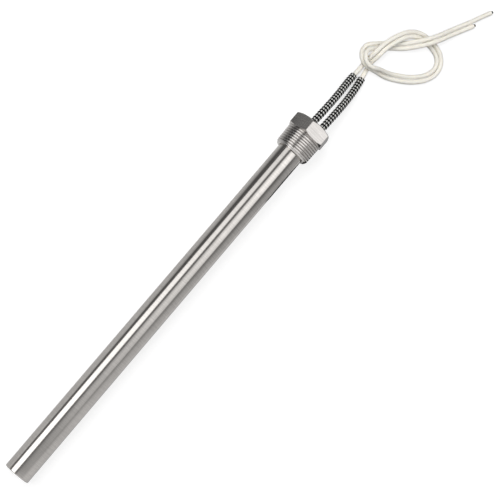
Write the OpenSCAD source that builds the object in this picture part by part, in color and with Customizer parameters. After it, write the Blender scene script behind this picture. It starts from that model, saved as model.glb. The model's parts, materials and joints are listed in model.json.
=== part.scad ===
// Cartridge heater with a tapered pipe plug, lying at rest on a flat surface.
// The heater's axis runs along X, from its closed tip towards its leads, and Z is up.

/* [Sheath] */
// Outside diameter of the metal sheath
sheath_od = 19.05; // [18.5:0.05:20]
// Wall thickness of the sheath
sheath_wall = 0.9; // [0.6:0.1:1.2]
// Length from the closed tip to the underside of the hexagon
immersion = 299; // [200:1:500]
// Rounding of the tip's outer edge
tip_round = 0.8; // [0.3:0.1:0.9]
// Thickness of the disc that closes the tip
end_disc_t = 3; // [2:0.5:5]
// How far the sheath is turned down, on the radius, where the plug sits
seat_step = 0.25; // [0.2:0.05:0.35]
// How far that seat starts ahead of the plug
seat_lead = 0.6; // [0.4:0.1:2]

/* [Plug] */
// Width of the hexagon across its flats
hex_af = 27; // [27:0.5:36]
// Height of the hexagon along the heater
hex_h = 10.5; // [8:0.5:14]
// How much smaller than the flats the turned face on the lead side is
hex_face_inset = 1.4; // [0.4:0.1:3]
// How much larger than the flats the turned face on the tip side is
hex_under_margin = 0.6; // [0.2:0.1:3]
// Slope of both chamfers from those faces, in degrees
hex_chamfer_angle = 30; // [15:1:40]
// Length of the threaded shank below the hexagon
shank_len = 15; // [14:0.5:22]
// Crest diameter of the tapered thread at its small end
thread_small_d = 25.7; // [24.5:0.1:25.8]
// Growth of the thread's diameter for each millimetre of length
thread_taper = 0.0625; // [0.03:0.0025:0.07]
// Length of the plain relief between the thread and the hexagon
neck_len = 1.5; // [1.5:0.5:4]
// Diameter of that relief
neck_d = 24.6; // [23:0.1:25]
// Length of the lead-in chamfer at the thread's small end
thread_lead_in = 1.7; // [0.8:0.1:3]
// Depth of the lead-in chamfer on the radius
thread_lead_in_r = 1.2; // [0.5:0.1:1.8]
// Size of the countersink at the plug's small end that holds the braze
braze_leg = 0.9; // [0.5:0.1:1.4]
// Size of the countersink in the plug's lead-end face
mouth_chamfer = 0.6; // [0.3:0.1:0.8]

/* [Heating core] */
// Diameter of the ceramic core
core_d = 12; // [11.6:0.1:12.4]
// Number of ceramic segments in the core
core_count = 5; // [5:1:5]
// Diameter of the resistance wire
wire_d = 1; // [0.6:0.1:1.1]
// Full turns of the resistance wire
coil_turns = 30; // [10:1:34]
// Thickness of the ceramic disc at the tip
tip_insulator_t = 4; // [3:0.5:6]
// Thickness of the ceramic bush at the lead end
top_insulator_t = 8; // [5:0.5:10]
// Space at each end of the core for the wire's tail
tail_space = 5; // [4:0.5:7]

/* [Terminals] */
// Distance between the two terminal pins
pin_spread = 8; // [7.4:0.1:8.4]
// Diameter of a terminal pin
pin_d = 2; // [1.6:0.1:2.2]
// How far the short pin reaches into the core
short_pin_in_core = 12; // [6:1:30]
// Outside diameter of a crimp barrel
crimp_d = 3.2; // [2.8:0.1:3.6]
// Length of a crimp barrel
crimp_len = 8; // [6:0.5:10]
// Depth of the crimp's bore for the pin
crimp_bore_depth = 4; // [3:0.5:5]

/* [Leads] */
// Outside diameter of an insulated lead
lead_d = 3.3; // [2.8:0.1:3.3]
// Diameter of the bare conductor
conductor_d = 2; // [1.2:0.1:2.4]
// How far the bare conductor stands out of the cut end
conductor_out = 1; // [0.5:0.1:3]
// How far each lead reaches into the plug from its end face
lead_in = 12; // [10:0.5:14]
// How much of that the end seal holds
lead_held = 4; // [3:0.5:5]
// Outside diameter of a braided sleeve
sleeve_d = 5; // [4.6:0.1:5.2]
// Inside diameter of a braided sleeve
sleeve_bore = 3.6; // [3.5:0.1:3.8]
// Length of the first lead's sleeve
sleeve_1_len = 61.5; // [30:0.5:70]
// Length of the second lead's sleeve
sleeve_2_len = 64; // [30:0.5:70]

/* [Fits] */
// Gap on the radius between the sheath and what is packed into it
pack_gap = 0.05; // [0.02:0.01:0.1]
// Gap on the radius between a pin and its hole
pin_gap = 0.1; // [0.05:0.05:0.2]
// Gap between the resistance wire and the parts beside it
wire_gap = 0.05; // [0.02:0.01:0.1]
// Gap on the radius between the plug's bore and the sheath
braze_gap = 0.03; // [0.02:0.01:0.06]
// Gap on the radius round crimps and sleeves in the end seal
seal_gap = 0.15; // [0.1:0.05:0.25]
// End gap between a lead and its crimp
lead_gap = 0.1; // [0.05:0.05:0.2]
// How far the sheath ends inside the plug's end face
sheath_recess = 1; // [0.5:0.5:2]

/* [Hidden] */
round_fn = 96;
eps = 0.01;
// Where turned profiles start, away from the hexagon's corners
seam_angle = 15;

// Along the heater: zero is the hexagon's underside, the tip is negative
tip_x = -immersion;
plug_front_x = -shank_len;
seat_x = plug_front_x - seat_lead;
sheath_end_x = hex_h - sheath_recess;
lead_start_x = hex_h - lead_in;
seal_end_x = lead_start_x + lead_held;
crimp_end_x = lead_start_x - lead_gap;
crimp_start_x = crimp_end_x - crimp_len;
pin_end_x = crimp_start_x + crimp_bore_depth - lead_gap;
seal_start_x = crimp_start_x - lead_gap;
top_insulator_x = seal_start_x - top_insulator_t;
core_end_x = top_insulator_x - tail_space;
tip_insulator_x = tip_x + end_disc_t;
fill_start_x = tip_insulator_x + tip_insulator_t;
core_start_x = fill_start_x + tail_space;
core_segment_len = (core_end_x - core_start_x) / core_count;
long_pin_x = core_start_x - 0.8 * tail_space;
short_pin_x = core_end_x - short_pin_in_core;

// Across the heater
sheath_r = sheath_od / 2;
sheath_id = sheath_od - 2 * sheath_wall;
packed_d = sheath_id - 2 * pack_gap;
seat_r = sheath_r - seat_step;
plug_bore_r = seat_r + braze_gap;
hex_across_corners = hex_af / cos(30);
hex_face_d = hex_af - hex_face_inset;
hex_under_d = hex_af + hex_under_margin;
thread_large_d = thread_small_d + thread_taper * (shank_len - neck_len);
pin_hole_d = pin_d + 2 * pin_gap;

// Resistance wire: a polygon of straight steps that clears the core at the middle of each step
coil_steps = 12;
wire_sides = 4;
coil_r = (core_d / 2 + wire_gap + wire_d / 2) / cos(180 / coil_steps);
coil_tail_r = pin_spread / 2 + pin_d / 2 + wire_gap + wire_d / 2;
coil_outer_r = coil_r + wire_d / 2 + wire_gap;
coil_tail_turns = 0.5;
coil_all_turns = coil_turns + 0.5;
coil_inset = wire_d;
coil_tail_drop = 0.5 * tail_space;

// Rest: the hexagon's flat and the tip's lower edge both touch the floor
rest_rise = hex_af / 2 - (sheath_r - tip_round);
rest_run = immersion - tip_round;
rest_tilt = acos(tip_round / norm([rest_rise, rest_run])) - atan2(rest_run, rest_rise);
rest_z = hex_af / 2 * cos(rest_tilt);
tip_reach = rest_run * cos(rest_tilt) + (sheath_r - tip_round) * sin(rest_tilt) + tip_round;
lead_reach = hex_h * cos(rest_tilt) + hex_face_d / 2 * sin(rest_tilt);
rest_x = (tip_reach - lead_reach) / 2;
exit_x = rest_x + hex_h * cos(rest_tilt);

// The place, at rest, of a point on the heater's axis
function axis_x(x) = rest_x + x * cos(rest_tilt);
function axis_z(x) = rest_z + x * sin(rest_tilt);

// Route of the pair of leads: distance from the plug's end face, sideways place, lift above lying
// on the floor, half the distance between the two leads, and how far the second lead rolls on top
lead_exit = [
    [-lead_in, 0, axis_z(lead_start_x) - lead_d / 2, pin_spread / 2, 0],
    [lead_held - lead_in, 0, axis_z(seal_end_x) - lead_d / 2, pin_spread / 2, 0]
];
// Through the sheath's open mouth and down to the floor
lead_droop = [
    [-3, -1.1, 11.9, 4, 0], [2, -2.1, 12, 4, 0], [9, -2.7, 11.6, 4, 0], [19, -3.8, 9.8, 4, 0],
    [29, -5.1, 6.9, 4, 0], [39, -6, 3.8, 3.9, 0], [48, -6.4, 1.6, 3.3, 0], [54, -6.4, 0.5, 2.7, 0]
];
// A loose overhand knot: under the loop, over the returning pair and down its right side
knot_out = [
    [59, -6.1, 0, 2.2, 0], [64, -5.7, 0.5, 1.85, 0], [70, -5.3, 4, 1.75, 0], [76, -5.7, 4.6, 1.75, 0],
    [83, -7.5, 4, 1.75, 0], [91, -10.8, 3.4, 1.75, 0], [98.5, -16, 1.6, 1.75, 0], [103.5, -23, 0, 1.75, 0],
    [105.2, -31, 0, 1.75, 0], [105.2, -38, 0, 1.75, 0], [103.5, -44.5, 0, 1.78, 0], [99, -49, 0, 1.78, 0]
];
// Back along the near side of the loop, over the incoming pair and round the left end
knot_back = [
    [92.5, -50, 0, 1.78, 0], [85, -47, 0, 1.8, 0], [77, -40, 0, 1.8, 0], [70.7, -31.5, 0.2, 1.8, 5],
    [65.6, -22.6, 1.1, 1.81, 24], [62.4, -14.2, 3.8, 1.81, 51], [59.8, -8.5, 5.9, 1.84, 75],
    [59.1, -3.4, 5.7, 1.86, 80], [61.1, 0.8, 4.5, 1.88, 75], [65.2, 2.9, 2.6, 1.92, 61],
    [69.9, 1.9, 1.2, 1.9, 30]
];
// Out through the loop to the cut ends
lead_tail = [
    [75.3, -3.1, 0.1, 1.8, 2], [83.2, -11.2, 0.2, 1.82, 0], [89.4, -18.3, 0.8, 1.78, 0],
    [97, -24.4, 2.9, 1.75, 0], [105, -29.8, 4.2, 1.75, 0], [113, -34.8, 3.2, 1.75, 0], [122, -39.8, 1, 1.75, 0],
    [131, -44.7, 0, 1.75, 0], [139, -48.8, 0, 1.75, 0], [147, -52.5, 0, 1.75, 0], [154, -56, 0, 1.75, 0]
];
pair_route = concat(lead_exit, lead_droop, knot_out, knot_back, lead_tail);
// How many route points sooner the second lead is cut off
second_lead_short = 2;
cord_sides = 8;

// Sideways direction, seen from above, to the left of the route at point i
function heading(p, i) =
    let (a = p[max(i - 1, 0)], b = p[min(i + 1, len(p) - 1)])
    atan2(b[1] - a[1], b[0] - a[0]);

// Points of one lead: side is 1 for the left lead and -1 for the right one
function lead_points(side) =
    [for (i = [0 : len(pair_route) - 1 - (side < 0 ? second_lead_short : 0)])
        let (
            p = pair_route[i], h = heading(pair_route, i),
            aside = side * p[3] * cos(p[4]), drop = side * p[3] * sin(p[4])
        )
        [exit_x + p[0] - aside * sin(h), p[1] + aside * cos(h), p[2] + lead_d / 2 - drop]];

// The first part of a path, up to a length along it
function trimmed(p, length, i = 0) =
    i >= len(p) - 1 ? [p[i]] :
    let (step = norm(p[i + 1] - p[i]))
    step >= length
        ? [p[i], p[i] + (p[i + 1] - p[i]) * length / step]
        : concat([p[i]], trimmed(p, length - step, i + 1));

// One ring of a tube round point i of a path
function ring(p, i, r, sides) =
    let (
        a = p[max(i - 1, 0)], b = p[min(i + 1, len(p) - 1)],
        t = (b - a) / norm(b - a), h = heading(p, i),
        n = [-sin(h), cos(h), 0], u = cross(t, n)
    )
    [for (k = [0 : sides - 1])
        let (w = 360 * (k + 0.5) / sides)
        p[i] + r * (n * cos(w) + u * sin(w))];

// Two triangles for each side between neighbouring rings, the first ring's points starting at first
function skin(rings, sides, first = 0, inward = false) =
    [for (i = [0 : rings - 2], k = [0 : sides - 1])
        let (
            a = first + i * sides + k, b = first + i * sides + (k + 1) % sides,
            c = a + sides, d = b + sides
        )
        each inward ? [[a, b, c], [b, d, c]] : [[a, c, b], [b, c, d]]];

// A solid cord along a path
module cord(p, r, sides = cord_sides) {
    n = len(p);
    points = [for (i = [0 : n - 1]) each ring(p, i, r, sides)];
    start_cap = [for (k = [0 : sides - 1]) k];
    end_cap = [for (k = [sides - 1 : -1 : 0]) (n - 1) * sides + k];
    polyhedron(points, concat([start_cap], [end_cap], skin(n, sides)), convexity = 10);
}

// A hollow sleeve along a path
module hollow_cord(p, r_out, r_in, sides = cord_sides) {
    n = len(p);
    outer = [for (i = [0 : n - 1]) each ring(p, i, r_out, sides)];
    inner = [for (i = [0 : n - 1]) each ring(p, i, r_in, sides)];
    m = n * sides;
    start_rim = [for (k = [0 : sides - 1])
        let (b = (k + 1) % sides)
        each [[k, b, m + k], [b, m + b, m + k]]];
    last = (n - 1) * sides;
    end_rim = [for (k = [0 : sides - 1])
        let (a = last + k, b = last + (k + 1) % sides)
        each [[a, m + a, b], [b, m + a, m + b]]];
    polyhedron(
        concat(outer, inner),
        concat(skin(n, sides), skin(n, sides, m, true), start_rim, end_rim),
        convexity = 10
    );
}

// Lays the heater, drawn along X about its own axis, down to where it rests
module laid() {
    translate([rest_x, 0, rest_z]) rotate([0, -rest_tilt, 0]) children();
}

// Turns a profile of radius against length about the heater's axis
module turned() {
    rotate([90, 0, 90]) rotate([0, 0, seam_angle]) rotate_extrude($fn = round_fn) children();
}

// A round bar along the heater's axis, from x to x + length, off to one side by y
module bar(x, length, d, y = 0) {
    translate([x, y, 0]) rotate([0, 90, 0]) cylinder(d = d, h = length, $fn = round_fn);
}

// Both pin places
module at_pins() {
    for (side = [-1, 1]) translate([0, side * pin_spread / 2, 0]) children();
}

module sheath() {
    color("silver") laid() difference() {
        turned() union() {
            translate([0, tip_x + tip_round]) square([sheath_r, seat_x - tip_x - tip_round]);
            translate([0, tip_x]) square([sheath_r - tip_round, tip_round + eps]);
            translate([sheath_r - tip_round, tip_x + tip_round]) circle(r = tip_round, $fn = round_fn);
            translate([0, seat_x - eps]) square([seat_r, sheath_end_x - seat_x + eps]);
        }
        bar(tip_x - 1, immersion + hex_h + 2, sheath_id);
    }
}

module end_disc() {
    color("silver") laid() bar(tip_x, end_disc_t, packed_d);
}

module hex_plug() {
    chamfer_rise = tan(hex_chamfer_angle);
    beyond_r = hex_across_corners / 2 + 1;
    color("gainsboro") laid() difference() {
        union() {
            intersection() {
                rotate([0, 90, 0]) rotate([0, 0, 30]) cylinder(d = hex_across_corners, h = hex_h, $fn = 6);
                turned() polygon([
                    [0, -1], [hex_under_d / 2 - 1 / chamfer_rise, -1],
                    [beyond_r, (beyond_r - hex_under_d / 2) * chamfer_rise],
                    [beyond_r, hex_h - (beyond_r - hex_face_d / 2) * chamfer_rise],
                    [hex_face_d / 2 - 1 / chamfer_rise, hex_h + 1], [0, hex_h + 1]
                ]);
            }
            turned() polygon([
                [0, plug_front_x],
                [thread_small_d / 2 - thread_lead_in_r, plug_front_x],
                [thread_small_d / 2 + thread_taper * thread_lead_in / 2, plug_front_x + thread_lead_in],
                [thread_large_d / 2, -neck_len],
                [neck_d / 2, -neck_len + (thread_large_d - neck_d) / 2],
                [neck_d / 2, hex_h / 2], [0, hex_h / 2]
            ]);
        }
        turned() polygon([
            [0, plug_front_x - 1], [plug_bore_r + braze_leg + 1, plug_front_x - 1],
            [plug_bore_r, plug_front_x + braze_leg],
            [plug_bore_r, hex_h - mouth_chamfer],
            [plug_bore_r + mouth_chamfer + 1, hex_h + 1], [0, hex_h + 1]
        ]);
    }
}

module braze_ring() {
    color("goldenrod") laid() turned() polygon([
        [plug_bore_r, plug_front_x], [plug_bore_r + braze_leg, plug_front_x],
        [plug_bore_r, plug_front_x + braze_leg]
    ]);
}

module tip_insulator() {
    color("ivory") laid() bar(tip_insulator_x, tip_insulator_t, packed_d);
}

module core_segment(i) {
    color("ivory") laid() difference() {
        bar(core_start_x + (i - 1) * core_segment_len, core_segment_len, core_d);
        at_pins() bar(tip_x, immersion, pin_hole_d);
    }
}

// Place of the resistance wire at a share s of its length, from the tip end's tail to the lead end's
function coil_point(s) =
    let (
        turn = s * coil_all_turns,
        from_start = min(turn / coil_tail_turns, 1),
        from_end = min((coil_all_turns - turn) / coil_tail_turns, 1),
        tail = min(from_start, from_end),
        r = coil_tail_r + (coil_r - coil_tail_r) * min(tail * 4, 1),
        wound = (turn - coil_tail_turns) / (coil_all_turns - 2 * coil_tail_turns),
        first_x = core_start_x + coil_inset, last_x = core_end_x - coil_inset,
        x = first_x + (last_x - first_x) * max(min(wound, 1), 0)
            - (1 - from_start) * (coil_tail_drop + coil_inset)
            + (1 - from_end) * (coil_tail_drop + coil_inset)
    )
    [x, r * cos(360 * turn), r * sin(360 * turn)];

module resistance_coil() {
    n = coil_all_turns * coil_steps;
    path = [for (i = [0 : n]) coil_point(i / n)];
    points = [for (i = [0 : n])
        let (w = 360 * i / coil_steps, out = [0, cos(w), sin(w)])
        each [for (k = [0 : wire_sides - 1])
            let (a = 360 * k / wire_sides)
            path[i] + wire_d / 2 * (out * cos(a) + [-sin(a), 0, 0])]];
    start_cap = [for (k = [0 : wire_sides - 1]) k];
    end_cap = [for (k = [wire_sides - 1 : -1 : 0]) n * wire_sides + k];
    color("dimgray") laid()
        polyhedron(points, concat([start_cap], [end_cap], skin(n + 1, wire_sides)), convexity = 20);
}

module magnesia_fill() {
    color("whitesmoke") laid() difference() {
        bar(fill_start_x, top_insulator_x - fill_start_x, packed_d);
        bar(fill_start_x - 1, immersion, 2 * (coil_outer_r + wire_gap));
    }
}

module top_insulator() {
    color("ivory") laid() difference() {
        bar(top_insulator_x, top_insulator_t, packed_d);
        at_pins() bar(tip_x, immersion + hex_h, pin_hole_d);
    }
}

module end_seal() {
    color("linen") laid() difference() {
        bar(seal_start_x, seal_end_x - seal_start_x, packed_d);
        at_pins() bar(seal_start_x - 1, crimp_end_x - seal_start_x + 1 + lead_gap, crimp_d + 2 * seal_gap);
        at_pins() bar(crimp_end_x, hex_h, sleeve_d + 2 * seal_gap);
    }
}

module terminal_pin(side) {
    start_x = side > 0 ? long_pin_x : short_pin_x;
    color("lightgray") laid() bar(start_x, pin_end_x - start_x, pin_d, side * pin_spread / 2);
}

module crimp(side) {
    color("silver") laid() difference() {
        bar(crimp_start_x, crimp_len, crimp_d, side * pin_spread / 2);
        bar(crimp_start_x - 1, crimp_bore_depth + 1, pin_hole_d, side * pin_spread / 2);
    }
}

module lead(side) {
    color("ivory") cord(lead_points(side), lead_d / 2);
}

module sleeve(side) {
    length = side > 0 ? sleeve_1_len : sleeve_2_len;
    color("dimgray") hollow_cord(
        trimmed(lead_points(side), length), sleeve_d / 2, sleeve_bore / 2 / cos(180 / cord_sides)
    );
}

module conductor_end(side) {
    p = lead_points(side);
    last = len(p) - 1;
    color("darkgray") translate(p[last]) rotate([0, 90, heading(p, last)])
        cylinder(d = conductor_d, h = conductor_out, $fn = round_fn);
}

sheath();
end_disc();
hex_plug();
braze_ring();
tip_insulator();
core_segment(1);  // core_segment_1
core_segment(2);  // core_segment_2
core_segment(3);  // core_segment_3
core_segment(4);  // core_segment_4
core_segment(5);  // core_segment_5
resistance_coil();
magnesia_fill();
top_insulator();
end_seal();
terminal_pin(1);  // terminal_pin_1
terminal_pin(-1);  // terminal_pin_2
crimp(1);  // crimp_1
crimp(-1);  // crimp_2
lead(1);  // lead_1
lead(-1);  // lead_2
sleeve(1);  // sleeve_1
sleeve(-1);  // sleeve_2
conductor_end(1);  // conductor_end_1
conductor_end(-1);  // conductor_end_2
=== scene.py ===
"""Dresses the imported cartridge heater: ground sheath, threaded plug, braided sleeves and knotted leads."""

import json
import math

import bpy
import numpy as np
from mathutils import Matrix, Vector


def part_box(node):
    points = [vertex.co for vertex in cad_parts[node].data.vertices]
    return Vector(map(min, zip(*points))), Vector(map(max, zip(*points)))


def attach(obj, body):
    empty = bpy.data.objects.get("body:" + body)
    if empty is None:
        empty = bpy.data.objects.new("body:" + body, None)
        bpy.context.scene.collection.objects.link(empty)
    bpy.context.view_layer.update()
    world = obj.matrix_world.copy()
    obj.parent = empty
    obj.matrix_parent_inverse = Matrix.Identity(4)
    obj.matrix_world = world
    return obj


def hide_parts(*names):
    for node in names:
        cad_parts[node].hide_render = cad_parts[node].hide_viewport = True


bl_info = {
    "name": "Cartridge Heater",
    "version": (1, 0, 0),
    "blender": (4, 5, 0),
    "location": "View3D > Sidebar > Heater",
    "description": "Builds the dressed cartridge heater round its packed solids",
    "category": "Object",
}

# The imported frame, and what is read from it once
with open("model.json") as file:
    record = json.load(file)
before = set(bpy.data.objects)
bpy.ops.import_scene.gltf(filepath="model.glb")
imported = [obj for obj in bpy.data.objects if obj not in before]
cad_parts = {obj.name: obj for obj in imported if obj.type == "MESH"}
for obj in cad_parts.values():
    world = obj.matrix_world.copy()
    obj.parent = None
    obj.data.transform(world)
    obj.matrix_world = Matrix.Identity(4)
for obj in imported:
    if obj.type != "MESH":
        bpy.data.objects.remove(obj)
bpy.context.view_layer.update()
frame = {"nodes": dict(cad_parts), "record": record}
SHEATH_MOUNT = next(mount for mount in frame["record"]["mounts"] if mount["name"] == "sheath")
CORE_SEGMENTS = sum(node.startswith("core_segment_") for node in frame["nodes"])

# A millimetre in metres, and the body that every piece rides on
MM = 0.001
ROOT = "root"
# Number of each lead, and the side of the pair's route on which it lies
PAIR = ((1, 1), (2, -1))

# How finely each shape is cut, round it or along it
SHEATH_COLUMNS = 192
SHEATH_ROWS = 40
TIP_ROWS = 9
HEX_SIDE_COLUMNS = 48
THREAD_ROWS = 215
LEAD_SIDES = 20
LEAD_STEPS = 10
YARN_SIDES = 10
YARN_STEPS = 14
STRAND_SIDES = 8
STRAND_ROWS = 8
WIRE_SIDES = 8
WIRE_STEPS = 36
TENT_COLUMNS = 61
# Angles in degrees from which an edge is shaded sharp: on machined pieces, leads and strands, yarns and wire
SHARP_MACHINED = 25
SHARP_LEAD = 50
SHARP_THIN = 60


# Sizes and colours that a user would change


def amount(name, description, default, **kind):
    """A number for a property group, with its unit or subtype."""
    return bpy.props.FloatProperty(name=name, description=description, default=default, **kind)


def length(name, description, millimetres):
    """A length, given in millimetres and kept in metres."""
    return amount(name, description, millimetres * MM, min=0.0, unit="LENGTH")


def slant(name, description, degrees):
    """An angle, given in degrees and kept in radians."""
    return amount(name, description, math.radians(degrees), subtype="ANGLE")


def whole(name, description, default, least):
    """A whole number that stays at or over the least that works."""
    return bpy.props.IntProperty(name=name, description=description, default=default, min=least)


def spot(name, description, default):
    """A point in the part's frame."""
    return bpy.props.FloatVectorProperty(
        name=name, description=description, default=default, subtype="TRANSLATION"
    )


def colour(name, description, default):
    """A linear colour."""
    return bpy.props.FloatVectorProperty(
        name=name, description=description, default=default, min=0.0, max=1.0, size=3, subtype="COLOR"
    )


class HeaterSheathSizes(bpy.types.PropertyGroup):
    """Sizes of the metal sheath."""

    radius: length("Radius", "Outside radius of the sheath", SHEATH_MOUNT["dims"]["r_mm"])
    wall: length("Wall", "Wall thickness of the sheath", 0.9)
    immersion: length("Immersion", "From the closed tip to the hexagon's underside", 299)
    tip_round: length("Tip rounding", "Rounding of the tip's outer edge", 0.8)
    seat_step: length("Seat step", "How far the sheath is turned down under the plug", 0.25)
    seat_lead: length("Seat lead", "How far that seat starts ahead of the plug", 0.6)
    recess: length("Recess", "How far the sheath ends inside the plug's end face", 1.0)


class HeaterPlugSizes(bpy.types.PropertyGroup):
    """Sizes of the hexagonal plug and its tapered pipe thread."""

    flats: length("Across flats", "Width of the hexagon across its flats", 27)
    height: length("Hexagon height", "Height of the hexagon along the heater", 10.5)
    face_inset: length("Face inset", "How much smaller than the flats the lead-side face is", 1.4)
    under_margin: length("Underside margin", "How much larger than the flats the tip-side face is", 0.6)
    chamfer: slant("Chamfer", "Slope of both chamfers", 30)
    corner_round: length("Corner rounding", "Radius of the hexagon's upright edges", 0.7)
    edge_break: length("Edge break", "Width of the bright broken edges", 0.28)
    neck_fillet: length("Neck fillet", "Size of the rounding between neck and hexagon", 0.1)
    shank: length("Shank", "Length of the threaded shank", 15)
    small_diameter: length("Thread diameter", "Crest diameter at the small end", 25.7)
    taper: amount("Taper", "Growth of the diameter along it", 0.0625)
    pitch: length("Pitch", "Distance between thread crests", 1.814)
    depth: length("Depth", "Depth of the thread", 0.8)
    crest_land: amount("Crest land", "Flat share of a thread crest", 0.34, subtype="FACTOR")
    lead_in: length("Lead-in", "Length of the chamfer at the small end", 1.7)
    lead_in_depth: length("Lead-in depth", "Depth of that chamfer on the radius", 1.2)
    neck: length("Neck", "Length of the plain neck under the hexagon", 0.9)
    neck_diameter: length("Neck diameter", "Diameter of the plain neck", 24.6)
    bore_gap: length("Bore gap", "Gap between the bore and the sheath's seat", 0.03)
    braze_leg: length("Braze leg", "Countersink that holds the braze", 0.9)
    mouth_chamfer: length("Mouth chamfer", "Countersink in the lead-side face", 0.6)


class HeaterLeadSizes(bpy.types.PropertyGroup):
    """Sizes of the leads, their sleeves and their cut ends."""

    diameter: length("Lead diameter", "Outside diameter of a lead", 3.3)
    inset: length("Inset", "How far a lead reaches into the plug", 12)
    held: length("Held", "How much of that the end seal holds straight", 4)
    spread: length("Spread", "Distance between the leads in the seal", 8)
    short_points: whole("Short by", "How many route points sooner the second lead is cut", 2, 0)
    sleeve_1: length("First sleeve", "Length of the first lead's braided sleeve", 61.5)
    sleeve_2: length("Second sleeve", "Length of the second lead's braided sleeve", 64)
    sleeve_diameter: length("Sleeve diameter", "Outside diameter of a sleeve", 5.5)
    sleeve_bore: length("Sleeve bore", "Inside diameter of a sleeve", 3.6)
    carriers: whole("Carriers", "Yarns that wind each way round a sleeve", 8, 4)
    cell: length("Braid cell", "Length of one diamond of the braid", 2.4)
    conductor: length("Conductor", "Diameter of the bare conductor", 2)
    conductor_out: length("Conductor out", "How far the conductor stands out of the cut end", 1.5)


class HeaterCoilSizes(bpy.types.PropertyGroup):
    """Sizes of the resistance winding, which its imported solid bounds."""

    wire: length("Wire", "Diameter of the resistance wire", 1)
    turns: whole("Turns", "Full turns of the winding", 30, 1)
    tail_radius: length("Tail radius", "Radius at which a tail lies beside its pin", 5.55)
    inset: length("Inset", "How far the winding stays inside the core's ends", 1)
    tail_drop: length("Tail drop", "How far a tail runs past the core's end", 2.5)


class HeaterColours(bpy.types.PropertyGroup):
    """Linear base colours of the finishes."""

    sheath: colour("Sheath", "Ground stainless sheath", (0.52, 0.498, 0.477))
    plug: colour("Plug", "Machined plug", (0.575, 0.554, 0.536))
    braze: colour("Braze", "Braze filler", (0.5, 0.48, 0.44))
    ceramic: colour("Ceramic", "Fired insulators and core", (0.78, 0.75, 0.68))
    magnesia: colour("Magnesia", "Compacted powder", (0.83, 0.82, 0.78))
    cement: colour("Cement", "End seal", (0.66, 0.62, 0.54))
    wire: colour("Wire", "Resistance wire", (0.22, 0.2, 0.19))
    terminal: colour("Terminal", "Nickel pins and crimps", (0.55, 0.53, 0.49))
    jacket: colour("Jacket", "Lead insulation", (0.9, 0.87, 0.79))
    dark_yarn: colour("Dark yarn", "Dark yarn of the sleeves", (0.006, 0.006, 0.006))
    light_yarn: colour("Light yarn", "Light yarn of the sleeves", (0.7, 0.7, 0.68))
    # Near black as painted shade of the cut ends, darker than the strands' own metal
    conductor: colour("Conductor", "Cut strands", (0.015, 0.013, 0.012))


class HeaterStage(bpy.types.PropertyGroup):
    """Camera, floor and lights."""

    eye: spot("Eye", "Place of the camera", (-0.09213, 0.41925, 1.00149))
    aim: spot("Aim", "Point at the picture's centre", (0.06334, -0.02962, -0.00005))
    roll: slant("Roll", "Turn of the camera about its own view", 112.6)
    lens: amount("Lens", "Focal length in millimetres", 115.0, unit="CAMERA")
    key_power: amount("Key", "Watts of the key lamp", 27.0, unit="POWER")
    fill_power: amount("Fill", "Watts of the fill lamp", 10.0, unit="POWER")
    sky: amount("Sky", "Strength of the surrounding light", 0.2)


# Route of the pair of leads, as in the part's source: distance from the plug's end face, sideways place, lift
# above lying on the floor, half the distance between the leads, all in millimetres, and how far the second
# lead rolls on top, in degrees

LEAD_DROOP = [
    (-3, -1.1, 11.9, 4, 0), (2, -2.1, 12, 4, 0), (9, -2.7, 11.6, 4, 0), (19, -3.8, 9.8, 4, 0),
    (29, -5.1, 6.9, 4, 0), (39, -6, 3.8, 3.9, 0), (48, -6.4, 1.6, 3.3, 0), (54, -6.4, 0.5, 2.7, 0),
]
KNOT_OUT = [
    (59, -6.1, 0, 2.2, 0), (64, -5.7, 0.5, 1.85, 0), (70, -5.3, 4, 1.75, 0), (76, -5.7, 4.6, 1.75, 0),
    (83, -7.5, 4, 1.75, 0), (91, -10.8, 3.4, 1.75, 0), (98.5, -16, 1.6, 1.75, 0), (103.5, -23, 0, 1.75, 0),
    (105.2, -31, 0, 1.75, 0), (105.2, -38, 0, 1.75, 0), (103.5, -44.5, 0, 1.78, 0), (99, -49, 0, 1.78, 0),
]
KNOT_BACK = [
    (92.5, -50, 0, 1.78, 0), (85, -47, 0, 1.8, 0), (77, -40, 0, 1.8, 0), (70.7, -31.5, 0.2, 1.8, 5),
    (65.6, -22.6, 1.1, 1.81, 24), (62.4, -14.2, 3.8, 1.81, 51), (59.8, -8.5, 5.9, 1.84, 75),
    (59.1, -3.4, 5.7, 1.86, 80), (61.1, 0.8, 4.5, 1.88, 75), (65.2, 2.9, 2.6, 1.92, 61),
    (69.9, 1.9, 1.2, 1.9, 30),
]
LEAD_TAIL = [
    (75.3, -3.1, 0.1, 1.8, 2), (83.2, -11.2, 0.2, 1.82, 0), (89.4, -18.3, 0.8, 1.78, 0),
    (97, -24.4, 2.9, 1.75, 0), (105, -29.8, 4.2, 1.75, 0), (113, -34.8, 3.2, 1.75, 0),
    (122, -39.8, 1, 1.75, 0), (131, -44.7, 0, 1.75, 0), (139, -48.8, 0, 1.75, 0), (147, -52.5, 0, 1.75, 0),
    (154, -56, 0, 1.75, 0),
]
ROUTE_UNITS = (MM, MM, MM, MM, math.radians(1))


# The heater's own axes at rest


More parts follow.
